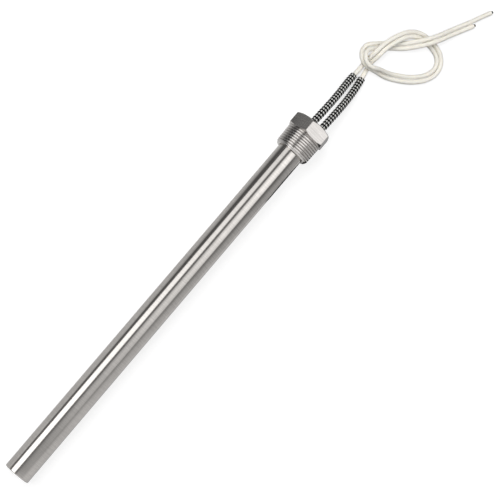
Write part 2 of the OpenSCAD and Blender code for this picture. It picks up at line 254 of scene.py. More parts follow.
class RestFrame:
    """Where the heater lies: its axis from the sheath's mount, and the hexagon's underside as its zero."""

    def __init__(self, plug):
        self.along = -np.array(SHEATH_MOUNT["axis"], float)
        self.across = np.array((0.0, 1.0, 0.0))
        self.up = np.cross(self.along, self.across)
        face_radius = (plug.flats - plug.face_inset) / 2
        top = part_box("hex_plug")[1]
        face_x = top.x - face_radius * self.along[2]
        point = np.array(SHEATH_MOUNT["pos_m"], float)
        self.face = point + self.along * (face_x - point[0]) / self.along[0]
        self.zero = self.face - self.along * plug.height

    def place(self, x, y, z):
        """Points at x along the heater, y across it and z up from its axis, in the part's frame."""
        local = np.stack(np.broadcast_arrays(x, y, z), axis=-1)
        return self.zero + local @ np.stack((self.along, self.across, self.up))

    def turned(self, x, radius, angle):
        """Points at a radius and angle about the heater's axis; the angle turns from sideways to up."""
        return self.place(x, radius * np.cos(angle), radius * np.sin(angle))


# Meshes from arrays


def grid_quads(rows, columns, close_rows=False, close_columns=True):
    """Corner numbers of each cell of a grid, whose columns wrap round and whose rows don't unless asked.
    Columns turn from sideways to up and rows run along, so that the faces point outwards."""
    i = np.arange(rows if close_rows else rows - 1)[:, None]
    j = np.arange(columns if close_columns else columns - 1)[None, :]
    i_next = (i + 1) % rows
    j_next = (j + 1) % columns
    corners = (i * columns + j, i * columns + j_next, i_next * columns + j_next, i_next * columns + j)
    return np.stack(np.broadcast_arrays(*corners), axis=-1).reshape(-1, 4)


def tube_faces(count, rows, columns):
    """Quads of several tubes whose points follow one another, and their end caps: each tube's first ring
    turned over and its last ring."""
    size = rows * columns
    quads = np.concatenate([grid_quads(rows, columns) + i * size for i in range(count)])
    ring = np.arange(columns)
    caps = [cap + i * size for i in range(count) for cap in (ring[::-1], size - columns + ring)]
    return quads, caps


def unit(vectors):
    """Vectors scaled to length one."""
    return vectors / np.linalg.norm(vectors, axis=-1, keepdims=True)


def ring_angles(count):
    """Even angles once round."""
    return np.arange(count) * 2 * math.pi / count


def make_piece(name, points, quads, caps=(), sharp_angle=SHARP_MACHINED, uv=None, weights=None):
    """A mesh object at the origin from an array of points, an array of quads and a few end caps.
    uv is an array of one pair for each corner of each quad; weights are named numbers for each point."""
    mesh = bpy.data.meshes.new(name)
    faces = quads.tolist() + [list(map(int, cap)) for cap in caps]
    mesh.from_pydata(points.reshape(-1, 3).tolist(), [], faces)
    mesh.shade_smooth()
    mesh.set_sharp_from_angle(angle=math.radians(sharp_angle))
    if uv is not None:
        layer = mesh.uv_layers.new(name="UVMap")
        flat = np.zeros((len(mesh.loops), 2), np.float32)
        flat[: uv.size // 2] = uv.reshape(-1, 2)
        layer.data.foreach_set("uv", flat.ravel())
    for key, values in (weights or {}).items():
        attribute = mesh.attributes.new(key, "FLOAT", "POINT")
        attribute.data.foreach_set("value", np.asarray(values, np.float32).ravel())
    mesh.validate()
    piece = bpy.data.objects.new(name, mesh)
    bpy.context.scene.collection.objects.link(piece)
    return piece


def paint(mesh, material):
    """Gives a mesh one material and no other."""
    mesh.materials.clear()
    mesh.materials.append(material)


def dress(piece, material, slot, *nodes):
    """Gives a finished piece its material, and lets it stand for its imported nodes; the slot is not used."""
    paint(piece.data, material)
    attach(piece, ROOT)
    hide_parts(*nodes)
    return piece


def finish_node(node, material):
    """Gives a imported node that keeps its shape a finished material."""
    paint(frame["nodes"][node].data, material)


def level_frames(path):
    """Tangent, level left-hand direction and their cross product at each point of a path."""
    tangent = unit(np.gradient(path, axis=0))
    left = unit(np.stack((-tangent[:, 1], tangent[:, 0], np.zeros(len(path))), axis=-1))
    return tangent, left, np.cross(tangent, left)


def tube(path, left, up, radius, sides):
    """Rings of a tube: each path point plus the radius times cosine of left and sine of up."""
    angle = ring_angles(sides)[None, :, None]
    return path[:, None] + radius * (np.cos(angle) * left[:, None] + np.sin(angle) * up[:, None])


def tube_uv(columns, run):
    """Turn fraction and run along the tube at the corners of each quad of a tube's grid."""
    turn = np.arange(columns + 1) / columns
    grid = np.stack(np.broadcast_arrays(turn[None, :], run[:, None]), axis=-1)
    return np.stack((grid[:-1, :-1], grid[:-1, 1:], grid[1:, 1:], grid[1:, :-1]), axis=2)


def run_along(path):
    """Distance along a path at each of its points."""
    steps = np.linalg.norm(np.diff(path, axis=0), axis=1)
    return np.concatenate(([0.0], np.cumsum(steps)))


def points_at(at, run, path):
    """Points of a path where a number that grows along it has the given values."""
    return np.stack([np.interp(at, run, path[:, axis]) for axis in range(3)], axis=-1)


def smooth_path(points, samples):
    """A smooth curve through the points: each stretch is the cubic whose slope at a point is half the step
    from the point before it to the point after it."""
    before = np.vstack((2 * points[:1] - points[1:2], points[:-1]))
    after = np.vstack((points[1:], 2 * points[-1:] - points[-2:-1]))
    slope = (after - before) / 2
    t = (np.arange(samples) / samples)[None, :, None]
    p0, p1, m0, m1 = (a[:, None] for a in (points[:-1], points[1:], slope[:-1], slope[1:]))
    curve = ((2 * t**3 - 3 * t**2 + 1) * p0 + (t**3 - 2 * t**2 + t) * m0
             + (3 * t**2 - 2 * t**3) * p1 + (t**3 - t**2) * m1)
    return np.vstack((curve.reshape(-1, 3), points[-1:]))


def cut_path(path, distance):
    """The first part of a path, up to a distance along it."""
    run = run_along(path)
    return np.vstack((path[run < distance], points_at(distance, run, path)))


# Finishes

WHITE = (1.0, 1.0, 1.0)
# The part of a noise's range that a finish uses: most of it, nearly all of it for ground lines, and its top
# for pits in ceramic and for loose fibres
NOISE_SPAN = (0.3, 0.7)
LINE_SPAN = (0.25, 0.75)
PIT_SPAN = (0.62, 0.8)
FIBRE_SPAN = (0.45, 0.75)
# Scales of the noises, in waves per metre: slow changes of tone on metal and ceramic, clouds and fibres
METAL_CLOUD = (60.0, 90.0, 90.0)
CERAMIC_CLOUD = (140.0, 140.0, 140.0)
JACKET_CLOUD = (300.0, 300.0, 300.0)
FIBRES = (5000.0, 5000.0, 5000.0)
# Tones as shares of a finish's own colour: metal in a streak and in a thread groove as painted shade, ceramic
# at its darkest, at its lightest and in a pit, the jacket's clouds, and loose fibres against the dark yarn
STREAK_TONE = 0.3
GROOVE_SHADE_TONE = 0.62
CERAMIC_TONES = (0.9, 1.05)
PIT_TONE = 0.72
JACKET_TONES = (0.97, 1.03)
FIBRE_TONE = 2.2
# How much of a yarn loose fibres cover at most, and the groove numbers over which metal darkens with painted
# shade
FIBRE_COVER = 0.3
GROOVE_SHADE_SPAN = (0.7, 1.0)
# Roughness of the jacket and the yarns, and how far a ceramic's goes to either side
JACKET_ROUGHNESS = (0.3, 0.42)
YARN_ROUGHNESS = (0.6, 0.8)
CERAMIC_SPREAD = 0.1
# Depth of the relief of the jacket and the yarns
JACKET_RELIEF = 0.008 * MM
YARN_RELIEF = 0.02 * MM


def plug_in(tree, socket, value):
    """Gives an input another node's output, or a constant."""
    if isinstance(value, bpy.types.NodeSocket):
        tree.links.new(value, socket)
    else:
        socket.default_value = value


def add_node(tree, kind, inputs=None, **choices):
    """A new node of a tree, with its own choices set and with what goes into its inputs."""
    node = tree.nodes.new(kind)
    for key, value in choices.items():
        setattr(node, key, value)
    for key, value in (inputs or {}).items():
        plug_in(tree, node.inputs[key], value)
    return node


def shaded(base, factor=1.0):
    """An opaque colour, made darker or lighter by a factor."""
    return (*(min(1.0, channel * factor) for channel in base), 1.0)


def grain_group():
    """Noise on Object coordinates stretched by a scale for each axis: long scratches where one is small."""
    if "Grain" in bpy.data.node_groups:
        return bpy.data.node_groups["Grain"]
    group = bpy.data.node_groups.new("Grain", "ShaderNodeTree")
    group.interface.new_socket("Scale", in_out="INPUT", socket_type="NodeSocketVector")
    group.interface.new_socket("Detail", in_out="INPUT", socket_type="NodeSocketFloat")
    group.interface.new_socket("Grain", in_out="OUTPUT", socket_type="NodeSocketFloat")
    given = add_node(group, "NodeGroupInput").outputs
    place = add_node(group, "ShaderNodeTexCoord").outputs["Object"]
    stretch = add_node(group, "ShaderNodeVectorMath", {0: place, 1: given["Scale"]}, operation="MULTIPLY")
    inputs = {"Vector": stretch.outputs["Vector"], "Scale": 1.0, "Detail": given["Detail"]}
    noise = add_node(group, "ShaderNodeTexNoise", inputs)
    add_node(group, "NodeGroupOutput", {"Grain": noise.outputs["Fac"]})
    return group


class Finish:
    """A material under construction: its tree, its shader and short ways to add nodes."""

    def __init__(self, name, constants):
        self.material = bpy.data.materials.new(name)
        self.material.use_nodes = True
        self.tree = self.material.node_tree
        self.shader = self.tree.nodes["Principled BSDF"]
        for socket, value in constants.items():
            self.shader.inputs[socket].default_value = value

    def grain(self, scale, detail=2.0):
        """A grain output with its own stretch."""
        inputs = {"Scale": scale, "Detail": detail}
        return add_node(self.tree, "ShaderNodeGroup", inputs, node_tree=grain_group()).outputs["Grain"]

    def attribute(self, name):
        """A named number of the piece's own points."""
        return add_node(self.tree, "ShaderNodeAttribute", attribute_name=name).outputs["Fac"]

    def ramp(self, value, out=(0.0, 1.0), span=NOISE_SPAN):
        """A span of a value, stretched to another range."""
        inputs = dict(zip(("From Min", "From Max", "To Min", "To Max"), (*span, *out)))
        return add_node(self.tree, "ShaderNodeMapRange", {"Value": value, **inputs}).outputs["Result"]

    def mix(self, factor, first, second):
        """A colour between two, each a colour or another output."""
        node = add_node(self.tree, "ShaderNodeMix", {"Factor": factor}, data_type="RGBA")
        sockets = [socket for socket in node.inputs if socket.type == "RGBA"]
        for socket, value in zip(sockets, (first, second)):
            plug_in(self.tree, socket, value)
        return next(socket for socket in node.outputs if socket.type == "RGBA")

    def done(self, tone, roughness, height, relief):
        """The material, with a colour and a roughness led into its shader and relief from a height."""
        bump = add_node(self.tree, "ShaderNodeBump", {"Height": height, "Strength": 1.0, "Distance": relief})
        outputs = {"Base Color": tone, "Roughness": roughness, "Normal": bump.outputs["Normal"]}
        for socket, value in outputs.items():
            plug_in(self.tree, self.shader.inputs[socket], value)
        return self.material


def ground_metal(name, base, lines, roughness, spread=0.08, relief=0.004 * MM, streaks=0.0, groove_shade=False):
    """Ground or machined metal: fine lines across one direction over a slow change of tone, and if asked dark
    streaks along the lines, and painted shade: darker where the piece's own groove number is high."""
    finish = Finish(name, {"Metallic": 1.0})
    fine = finish.grain(lines, 3.0)
    slow = finish.ramp(finish.grain(METAL_CLOUD))
    tone = finish.mix(slow, shaded(base, 1 - spread), shaded(base, 1 + spread))
    if streaks:
        tone = finish.mix(finish.ramp(fine, (0.0, streaks)), tone, shaded(base, STREAK_TONE))
    if groove_shade:
        # Painted shade: the thread's roots and the neck under the hexagon darken by their groove number
        depth = finish.ramp(finish.attribute("groove"), span=GROOVE_SHADE_SPAN)
        tone = finish.mix(depth, tone, shaded(base, GROOVE_SHADE_TONE))
    return finish.done(tone, finish.ramp(fine, roughness, LINE_SPAN), fine, relief)


def fired_ceramic(name, base, roughness=0.75, grain=900.0, relief=0.03 * MM):
    """Matte ceramic, powder or cement: a granular surface with a slow change of tone."""
    finish = Finish(name, {"Roughness": roughness})
    grains = finish.grain((grain, grain, grain), 4.0)
    slow = finish.ramp(finish.grain(CERAMIC_CLOUD))
    tone = finish.mix(slow, *(shaded(base, factor) for factor in CERAMIC_TONES))
    pitted = finish.mix(finish.ramp(grains, span=PIT_SPAN), tone, shaded(base, PIT_TONE))
    rough = finish.ramp(grains, (roughness - CERAMIC_SPREAD, roughness + CERAMIC_SPREAD))
    return finish.done(pitted, rough, grains, relief)


def lead_jacket(base):
    """Smooth pale lead insulation with a faint cloudiness and a soft sheen."""
    finish = Finish("lead_jacket", {
        "Subsurface Weight": 0.15,
        "Subsurface Radius": (1.0, 0.9, 0.7),
        "Subsurface Scale": 0.6 * MM,
    })
    cloud = finish.grain(JACKET_CLOUD, 3.0)
    tone = finish.mix(finish.ramp(cloud), *(shaded(base, factor) for factor in JACKET_TONES))
    return finish.done(tone, finish.ramp(cloud, JACKET_ROUGHNESS), cloud, JACKET_RELIEF)


def braid_yarn(dark, light):
    """Glass yarn in two colours, told apart by the piece's own yarn number, with fine filaments."""
    finish = Finish("sleeve_braid", {"Specular IOR Level": 0.12})
    fibres = finish.grain(FIBRES)
    base = finish.mix(finish.attribute("yarn"), shaded(dark), shaded(light))
    cover = finish.ramp(fibres, (0.0, FIBRE_COVER), FIBRE_SPAN)
    tone = finish.mix(cover, base, shaded(dark, FIBRE_TONE))
    return finish.done(tone, finish.ramp(fibres, YARN_ROUGHNESS), fibres, YARN_RELIEF)


# Shapes

# How strongly the points of a hexagon's side crowd towards its corners
CORNER_CROWD = 0.4
# Pitches over which the thread runs out into the neck
RUN_OUT = 1.2
# Rows at the hexagon's broken edges, as multiples of the edge break: beside a lower edge, its lip, beside an
# upper edge, and where the plain flat starts
EDGE_LOWER = 0.5
EDGE_LIP = 0.2
EDGE_UPPER = 0.6
EDGE_FLAT = 3
# How far the neck's rounding reaches, as a multiple of its size
FILLET_REACH = 3
# Groove number of the neck's rows, from the thread to the hexagon's underside, which paints shade under the
# hexagon
UNDERCUT_SHADE = (0.8, 0.8, 0.7, 0.5)
# Widths of the dark and the light yarns, as shares of their spacing round the sleeve
YARN_WIDTHS = (0.88, 0.66)
# How far a yarn swings in and out, and half its thickness, as shares of the sleeve's wall
YARN_SWING = 0.2
YARN_HALF_THICK = 0.2
# Ridges of a yarn: how many, and their height as a share of half its thickness
YARN_RIDGES = 3
RIDGE_HEIGHT = 0.25
# How much longer the dark yarns lie outside the light ones
DARK_SHARE = 0.4
# How far the braid is turned about the sleeve, so that a row of light ticks faces up and sideways
BRAID_TURN = math.radians(18)
# Strands of a conductor: how many in each ring, where they start inside the cut end, the run of a full twist,
# and how much of its room each fills
STRAND_RINGS = (1, 6, 12)
STRAND_START = -0.8 * MM
STRAND_LAY = 9 * MM
STRAND_FILL = 0.96
# Part of a turn past the winding's full turns, so that its tails come out opposite each other; turns of a
# tail; and the share of a tail in which it draws in to its pin
EXTRA_TURNS = 0.5
TAIL_TURNS = 0.5
TAIL_DRAW = 0.25


def sheath_surface(rest, sizes, plug):
    """A closed profile of length and radius turned about the axis: down the bore, round the tip's quarter
    circle, along the ground wall, down the seat's step and over the end rim."""
    inner = sizes.radius - sizes.wall
    seat = sizes.radius - sizes.seat_step
    end = plug.height - sizes.recess
    seat_x = -plug.shank - sizes.seat_lead
    tip = -sizes.immersion
    quarter = np.linspace(0, math.pi / 2, TIP_ROWS)
    corner_x = tip + sizes.tip_round * (1 - np.cos(quarter))
    corner_r = sizes.radius - sizes.tip_round + sizes.tip_round * np.sin(quarter)
    wall_x = np.linspace(tip + sizes.tip_round, seat_x, SHEATH_ROWS)[1:]
    wall_r = np.full(len(wall_x), sizes.radius)
    x = np.concatenate(([end, tip], corner_x, wall_x, [seat_x, end]))
    r = np.concatenate(([inner, inner], corner_r, wall_r, [seat, seat]))
    points = rest.turned(x[:, None], r[:, None], ring_angles(SHEATH_COLUMNS)[None, :])
    return points, grid_quads(len(x), SHEATH_COLUMNS, close_rows=True)


def hexagon_radius(angle, flats, corner_round):
    """Distance from the axis to a hexagon with rounded upright edges: the flat's distance over the cosine of
    the angle from its middle, and near a corner the far side of the small circle that rounds it."""
    apothem = flats / 2
    sector = math.pi / 3
    off = np.abs((angle - math.pi / 2 + sector / 2) % sector - sector / 2)
    centre = (apothem - corner_round) / math.cos(sector / 2)
    from_corner = sector / 2 - off
    inside = np.maximum(corner_round**2 - (centre * np.sin(from_corner))**2, 0)
    rounded = centre * np.cos(from_corner) + np.sqrt(inside)
    tangent = math.atan(centre * math.sin(sector / 2) / apothem)
    return np.where(off > tangent, rounded, apothem / np.cos(off))


def hexagon_angles():
    """Angles round the plug that crowd towards the hexagon's corners by a cubic on each side."""
    u = np.linspace(-1, 1, HEX_SIDE_COLUMNS, endpoint=False)
    eased = (1 + CORNER_CROWD) * u - CORNER_CROWD * u**3
    middles = math.pi / 2 + ring_angles(6)
    return (middles[:, None] + eased[None, :] * math.pi / 6).ravel()


def thread_radius(plug, x, angle):
    """Radius of a right-hand tapered thread, and how deep in the groove it is: the tapered crest less a
    rounded wave of x over the pitch minus the turn, with a flat crest, under the lead-in's cone, with its
    root run out into the neck."""
    front = -plug.shank
    crest = plug.small_diameter / 2 + plug.taper / 2 * (x - front)
    wave = np.abs(2 * ((x / plug.pitch - angle / (2 * math.pi)) % 1.0) - 1)
    groove = np.sin(np.clip((wave - plug.crest_land) / (1 - plug.crest_land), 0, 1) * math.pi / 2) ** 2
    cone_start = plug.small_diameter / 2 - plug.lead_in_depth
    cone_rise = plug.lead_in_depth + plug.taper * plug.lead_in / 2
    cone = cone_start + cone_rise * (x - front) / plug.lead_in
    ending = RUN_OUT * plug.pitch
    root = crest - plug.depth * groove
    floor = plug.neck_diameter / 2 * np.clip((x + plug.neck + ending) / ending, 0, 1)
    radius = np.minimum(np.maximum(root, floor), cone)
    return radius, np.clip((np.minimum(crest, cone) - radius) / plug.depth, 0, 1)


def plug_surface(rest, plug, sheath):
    """One closed grid of rows carried round the axis: down the bore, over the braze countersink and the front
    face, up the thread, the neck and the hexagon's underside, up its sides and in over the lead-side face.
    A row has its own length and radius at each angle, so that the chamfers' edges are true curves."""
    angle = hexagon_angles()[None, :]
    flat = np.zeros_like(angle)
    front = -plug.shank
    bore = sheath.radius - sheath.seat_step + plug.bore_gap
    rise = math.tan(plug.chamfer)
    sides = hexagon_radius(angle, plug.flats, plug.corner_round)
    face_r = (plug.flats - plug.face_inset) / 2
    under_r = (plug.flats + plug.under_margin) / 2
    top_edge = plug.height - (sides - face_r) * rise
    under_cut = np.maximum(sides - under_r, 0)
    under_edge = under_cut * rise
    under_foot = np.minimum(sides, under_r)
    edge, fillet = plug.edge_break, plug.neck_fillet
    lower, upper, plain = EDGE_LOWER * edge, EDGE_UPPER * edge, EDGE_FLAT * edge
    lip = EDGE_LIP * edge * (under_cut == 0)
    neck_r = plug.neck_diameter / 2
    thread_x = np.linspace(front, -plug.neck, THREAD_ROWS)[:, None]
    thread_r, thread_groove_shade = thread_radius(plug, thread_x, angle)
    large_r = plug.small_diameter / 2 + plug.taper / 2 * (plug.shank - plug.neck)
    before_thread = [
        (plug.height, bore + plug.mouth_chamfer),
        (plug.height - plug.mouth_chamfer, bore),
        (front + plug.braze_leg, bore),
        (front, bore + plug.braze_leg),
    ]
    after_thread = [
        (-plug.neck + (large_r - neck_r) / 2, neck_r),
        (-FILLET_REACH * fillet, neck_r),
        (-fillet, neck_r + fillet),
        (0, neck_r + FILLET_REACH * fillet),
        (0, under_foot - edge),
        (lower, under_foot - lip),
        (under_edge + lower, sides),
        (under_edge + plain, sides),
        (top_edge - plain, sides),
        (top_edge - upper, sides),
        (top_edge + upper * rise, sides - upper),
        (plug.height - edge * rise, face_r + edge),
        (plug.height, face_r - edge),
    ]
    rows = [*before_thread, (thread_x, thread_r), *after_thread]
    x = np.vstack([flat + row_x for row_x, _ in rows])
    r = np.vstack([flat + row_r for _, row_r in rows])
    # Groove numbers, which the plug's material turns into painted shade in the thread's roots and on the neck
    # under the hexagon
    groove = np.zeros_like(x)
    first = len(before_thread)
    last = first + THREAD_ROWS
    groove[first:last] = thread_groove_shade
    groove[last : last + len(UNDERCUT_SHADE)] = np.array(UNDERCUT_SHADE)[:, None]
    return rest.turned(x, r, angle), grid_quads(*x.shape, close_rows=True), groove


def lead_points(rest, sizes, side):
    """Points of one lead: the pair's route with half the gap added to the left or right of its heading, and
    partly up or down where the pair rolls."""
    face = rest.face
    slope = rest.along[2] / rest.along[0]
    half = sizes.spread / 2
    held = [(x, 0, face[2] + x * slope - sizes.diameter / 2, half, 0)
            for x in (-sizes.inset, sizes.held - sizes.inset)]
    chosen = np.array(LEAD_DROOP + KNOT_OUT + KNOT_BACK + LEAD_TAIL, float) * ROUTE_UNITS
    route = np.vstack((np.array(held, float), chosen))
    padded = np.vstack((route[:1], route, route[-1:]))
    heading = unit(padded[2:, :2] - padded[:-2, :2])
    left = np.stack((-heading[:, 1], heading[:, 0]), axis=-1)
    aside = side * route[:, 3] * np.cos(route[:, 4])
    drop = side * route[:, 3] * np.sin(route[:, 4])
    flat = route[:, :2] + aside[:, None] * left
    points = np.column_stack((flat[:, 0] + face[0], flat[:, 1], route[:, 2] + sizes.diameter / 2 - drop))
    return points if side > 0 else points[: len(points) - sizes.short_points]


def lead_path(rest, sizes, side):
    """The smooth centreline of one lead, which never dips under where it lies on the floor."""
    path = smooth_path(lead_points(rest, sizes, side), LEAD_STEPS)
    path[:, 2] = np.maximum(path[:, 2], sizes.diameter / 2)
    return path


def braid_points(path, sizes):
    """Flat yarns that wind both ways round a path, one carrier's width in each cell, and pass over and under
    each other in turn. A yarn's middle swings in and out by a cosine of the run over the cell, opposite for
    the two ways and longer outside for the dark yarns, so that dark rings and rings of light ticks alternate
    and both ends are dark; its section is a flat ellipse with ridges."""
    run = run_along(path)
    cells = round(run[-1] / sizes.cell)
    phase = np.linspace(0, cells, cells * YARN_STEPS + 1)
    centre = points_at(phase * run[-1] / cells, run, path)
    tangent, left, up = level_frames(centre)
    carriers = np.arange(sizes.carriers)[:, None, None]
    turn = np.array((1.0, -1.0))[None, :, None]
    step = 2 * math.pi / sizes.carriers
    angle = BRAID_TURN + carriers * step + turn * phase * step
    thickness = (sizes.sleeve_diameter - sizes.sleeve_bore) / 2
    middle = (sizes.sleeve_diameter + sizes.sleeve_bore) / 4
    swing = thickness * YARN_SWING * (np.cos(phase * 2 * math.pi) + DARK_SHARE)
    radius = middle + swing * turn
    cos, sin = np.cos(angle)[..., None], np.sin(angle)[..., None]
    outward = cos * left + sin * up
    around = -sin * left + cos * up
    spacing = step * middle
    forward = unit(tangent + turn[..., None] * spacing / sizes.cell * around)
    flatwise = np.cross(outward, forward)
    section = ring_angles(YARN_SIDES)
    half_width = np.array(YARN_WIDTHS)[None, :, None, None] * spacing / 2
    w = np.cos(section) * half_width
    ridged = 1 + RIDGE_HEIGHT * np.cos(YARN_RIDGES * section)
    h = np.sin(section) * thickness * YARN_HALF_THICK * ridged
    body = centre + radius[..., None] * outward
    points = body[..., None, :] + w[..., None] * flatwise[..., None, :] + h[:, None] * outward[..., None, :]
    yarn = np.broadcast_to(np.array((0.0, 1.0))[None, :, None, None], points.shape[:-1])
    return points, yarn


def strand_points(end, tangent, left, up, sizes):
    """A bundle of one strand in the middle with rings of strands round it, twisted as they run out of the cut
    end."""
    strand = sizes.conductor / 2 / (2 * len(STRAND_RINGS) - 1)
    ring = np.repeat(np.arange(len(STRAND_RINGS)), STRAND_RINGS)
    turn = np.concatenate([ring_angles(count) for count in STRAND_RINGS])
    at = np.linspace(STRAND_START, sizes.conductor_out, STRAND_ROWS)
    angle = turn[:, None] + at[None, :] / STRAND_LAY * 2 * math.pi
    spread = ring[:, None] * strand * 2
    axis = end + at[None, :, None] * tangent
    middle = axis + (spread * np.cos(angle))[..., None] * left + (spread * np.sin(angle))[..., None] * up
    section = ring_angles(STRAND_SIDES)[:, None]
    around = np.cos(section) * left + np.sin(section) * up
    return middle[:, :, None] + strand * STRAND_FILL * around


def coil_path(rest, coil):
    """Middle line of the winding: a helix along the core whose first and last half turns run off the core's
    ends and draw in to lie beside their pins."""
    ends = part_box("core_segment_1")[0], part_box(f"core_segment_{CORE_SEGMENTS}")[1]
    start, end = (rest.along @ (np.array(corner) - rest.zero) for corner in ends)
    low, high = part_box("resistance_coil")
    radius = (high.y - low.y) / 2 - coil.wire / 2
    turns = coil.turns + EXTRA_TURNS
    turn = np.linspace(0, turns, int(turns * WIRE_STEPS) + 1)
    from_start = np.minimum(turn / TAIL_TURNS, 1)
    from_end = np.minimum((turns - turn) / TAIL_TURNS, 1)
    draw = np.minimum(np.minimum(from_start, from_end) / TAIL_DRAW, 1)
    r = coil.tail_radius + (radius - coil.tail_radius) * draw
    first, last = start + coil.inset, end - coil.inset
    wound = np.clip((turn - TAIL_TURNS) / (turns - 2 * TAIL_TURNS), 0, 1)
    tail = coil.tail_drop + coil.inset
    x = first + (last - first) * wound - (1 - from_start) * tail + (1 - from_end) * tail
    angle = turn * 2 * math.pi
    outward = rest.turned(0, 1, angle) - rest.zero
    return rest.turned(x, r, angle), outward, np.broadcast_to(-rest.along, outward.shape)


# Operators


def settings(context):
    """Where the heater lies, and the scene's property groups, by short names."""
    scene = context.scene
    groups = scene.heater_sheath, scene.heater_plug, scene.heater_leads, scene.heater_colours
    return RestFrame(scene.heater_plug), *groups


class HEATER_OT_leads(bpy.types.Operator):
    """Lay the two leads along the knotted route"""

    bl_idname = "heater.leads"
    bl_label = "Leads"

    def execute(self, context):
        rest, _, _, sizes, colours = settings(context)
        material = lead_jacket(colours.jacket)
        for number, side in PAIR:
            path = lead_path(rest, sizes, side)
            _, left, up = level_frames(path)
            points = tube(path, left, up, sizes.diameter / 2, LEAD_SIDES)
            quads, caps = tube_faces(1, len(path), LEAD_SIDES)
            uv = tube_uv(LEAD_SIDES, run_along(path))
            piece = make_piece(f"lead_jacket_{number}", points, quads, caps, SHARP_LEAD, uv)
            dress(piece, material, "lead_jacket", f"lead_{number}")
        return {"FINISHED"}


class HEATER_OT_sleeves(bpy.types.Operator):
    """Braid a two-colour sleeve over the start of each lead"""

    bl_idname = "heater.sleeves"
    bl_label = "Braided sleeves"

    def execute(self, context):
        rest, _, _, sizes, colours = settings(context)
        material = braid_yarn(colours.dark_yarn, colours.light_yarn)
        for number, side in PAIR:
            path = cut_path(lead_path(rest, sizes, side), sizes.sleeve_1 if side > 0 else sizes.sleeve_2)
            points, yarn = braid_points(path, sizes)
            carriers, ways, rows, columns, _ = points.shape
            quads, caps = tube_faces(carriers * ways, rows, columns)
            piece = make_piece(f"braid_{number}", points, quads, caps, SHARP_THIN, weights={"yarn": yarn})
            dress(piece, material, "sleeve_braid", f"sleeve_{number}")
        return {"FINISHED"}


class HEATER_OT_conductors(bpy.types.Operator):
    """Set a bundle of bare strands in each cut end"""

    bl_idname = "heater.conductors"
    bl_label = "Conductor ends"

    def execute(self, context):
        rest, _, _, sizes, colours = settings(context)
        # The strands' near-black colour is painted shade of the cut ends
        material = ground_metal(
            "conductor", colours.conductor, lines=(600.0, 600.0, 600.0), roughness=(0.45, 0.65)
        )
        for number, side in PAIR:
            path = lead_path(rest, sizes, side)
            tangent, left, up = level_frames(path)
            points = strand_points(path[-1], tangent[-1], left[-1], up[-1], sizes)
            quads, caps = tube_faces(*points.shape[:3])
            strands = make_piece(f"strands_{number}", points, quads, caps, SHARP_LEAD)
            dress(strands, material, "conductor", f"conductor_end_{number}")
        return {"FINISHED"}


class HEATER_OT_sheath(bpy.types.Operator):
    """Turn the ground sheath and finish the disc that closes its tip"""

    bl_idname = "heater.sheath"
    bl_label = "Sheath"

    def execute(self, context):
        rest, sheath, plug, _, colours = settings(context)
        points, quads = sheath_surface(rest, sheath, plug)
        material = ground_metal(
            "sheath_steel", colours.sheath, lines=(1900.0, 60.0, 60.0), roughness=(0.09, 0.15),
            spread=0.04, relief=0.001 * MM, streaks=0.2,
        )
        dress(make_piece("ground_sheath", points, quads), material, "sheath_steel", "sheath")
        finish_node("end_disc", material)
        return {"FINISHED"}


class HEATER_OT_plug(bpy.types.Operator):
    """Cut the hexagonal plug with its tapered pipe thread, and finish the braze in its mouth"""

    bl_idname = "heater.plug"
    bl_label = "Threaded plug"

    def execute(self, context):
        rest, sheath, plug, _, colours = settings(context)
        points, quads, groove = plug_surface(rest, plug, sheath)
        # The plug's material paints shade into the thread's grooves and onto the neck
        material = ground_metal(
            "plug_steel", colours.plug, lines=(1500.0, 90.0, 90.0), roughness=(0.14, 0.24),
            spread=0.03, relief=0.0005 * MM, streaks=0.16, groove_shade=True,
        )
        piece = make_piece("threaded_plug", points, quads, weights={"groove": groove})
        dress(piece, material, "plug_steel", "hex_plug")
        braze = ground_metal("braze", colours.braze, lines=(900.0, 900.0, 900.0), roughness=(0.3, 0.5))
        finish_node("braze_ring", braze)
        return {"FINISHED"}


class HEATER_OT_core(bpy.types.Operator):
    """Wind the resistance wire and finish the ceramics, powder, seal, pins and crimps inside"""

    bl_idname = "heater.core"
    bl_label = "Heating core"

    def execute(self, context):
        rest, _, _, _, colours = settings(context)
        coil = context.scene.heater_coil
        path, outward, back = coil_path(rest, coil)
        points = tube(path, outward, back, coil.wire / 2, WIRE_SIDES)
        quads, caps = tube_faces(1, len(path), WIRE_SIDES)
        wire = make_piece("wound_wire", points, quads, caps, SHARP_THIN)
        material = ground_metal(
            "resistance_wire", colours.wire, lines=(400.0, 900.0, 900.0), roughness=(0.35, 0.5)
        )
        dress(wire, material, "resistance_wire", "resistance_coil")
        segments = [f"core_segment_{n}" for n in range(1, CORE_SEGMENTS + 1)]
        ceramic = fired_ceramic("ceramic", colours.ceramic)
        for node in ("tip_insulator", "top_insulator", *segments):
            finish_node(node, ceramic)
        magnesia = fired_ceramic("magnesia", colours.magnesia, roughness=0.9, grain=2200.0, relief=0.06 * MM)
        finish_node("magnesia_fill", magnesia)
        cement = fired_ceramic("cement", colours.cement, roughness=0.8, grain=1300.0, relief=0.12 * MM)
        finish_node("end_seal", cement)
        terminal = ground_metal(
            "terminal_metal", colours.terminal, lines=(200.0, 1500.0, 1500.0), roughness=(0.25, 0.4)
        )
        for node in ("terminal_pin_1", "terminal_pin_2", "crimp_1", "crimp_2"):
            finish_node(node, terminal)
        return {"FINISHED"}


# Stage

SENSOR_WIDTH = 36.0
FLOOR_HALF = 40.0
# Shade of the floor in the light that it returns to the heater
FLOOR_TONE = 0.2
# How rays of each kind see the floor: its shadowed shade and the white added to it
FLOOR_SEEN = (("Is Transmission Ray", 0.4, 0.42), ("Is Glossy Ray", 0.4, 0.42), ("Is Camera Ray", 0.45, 0.72))

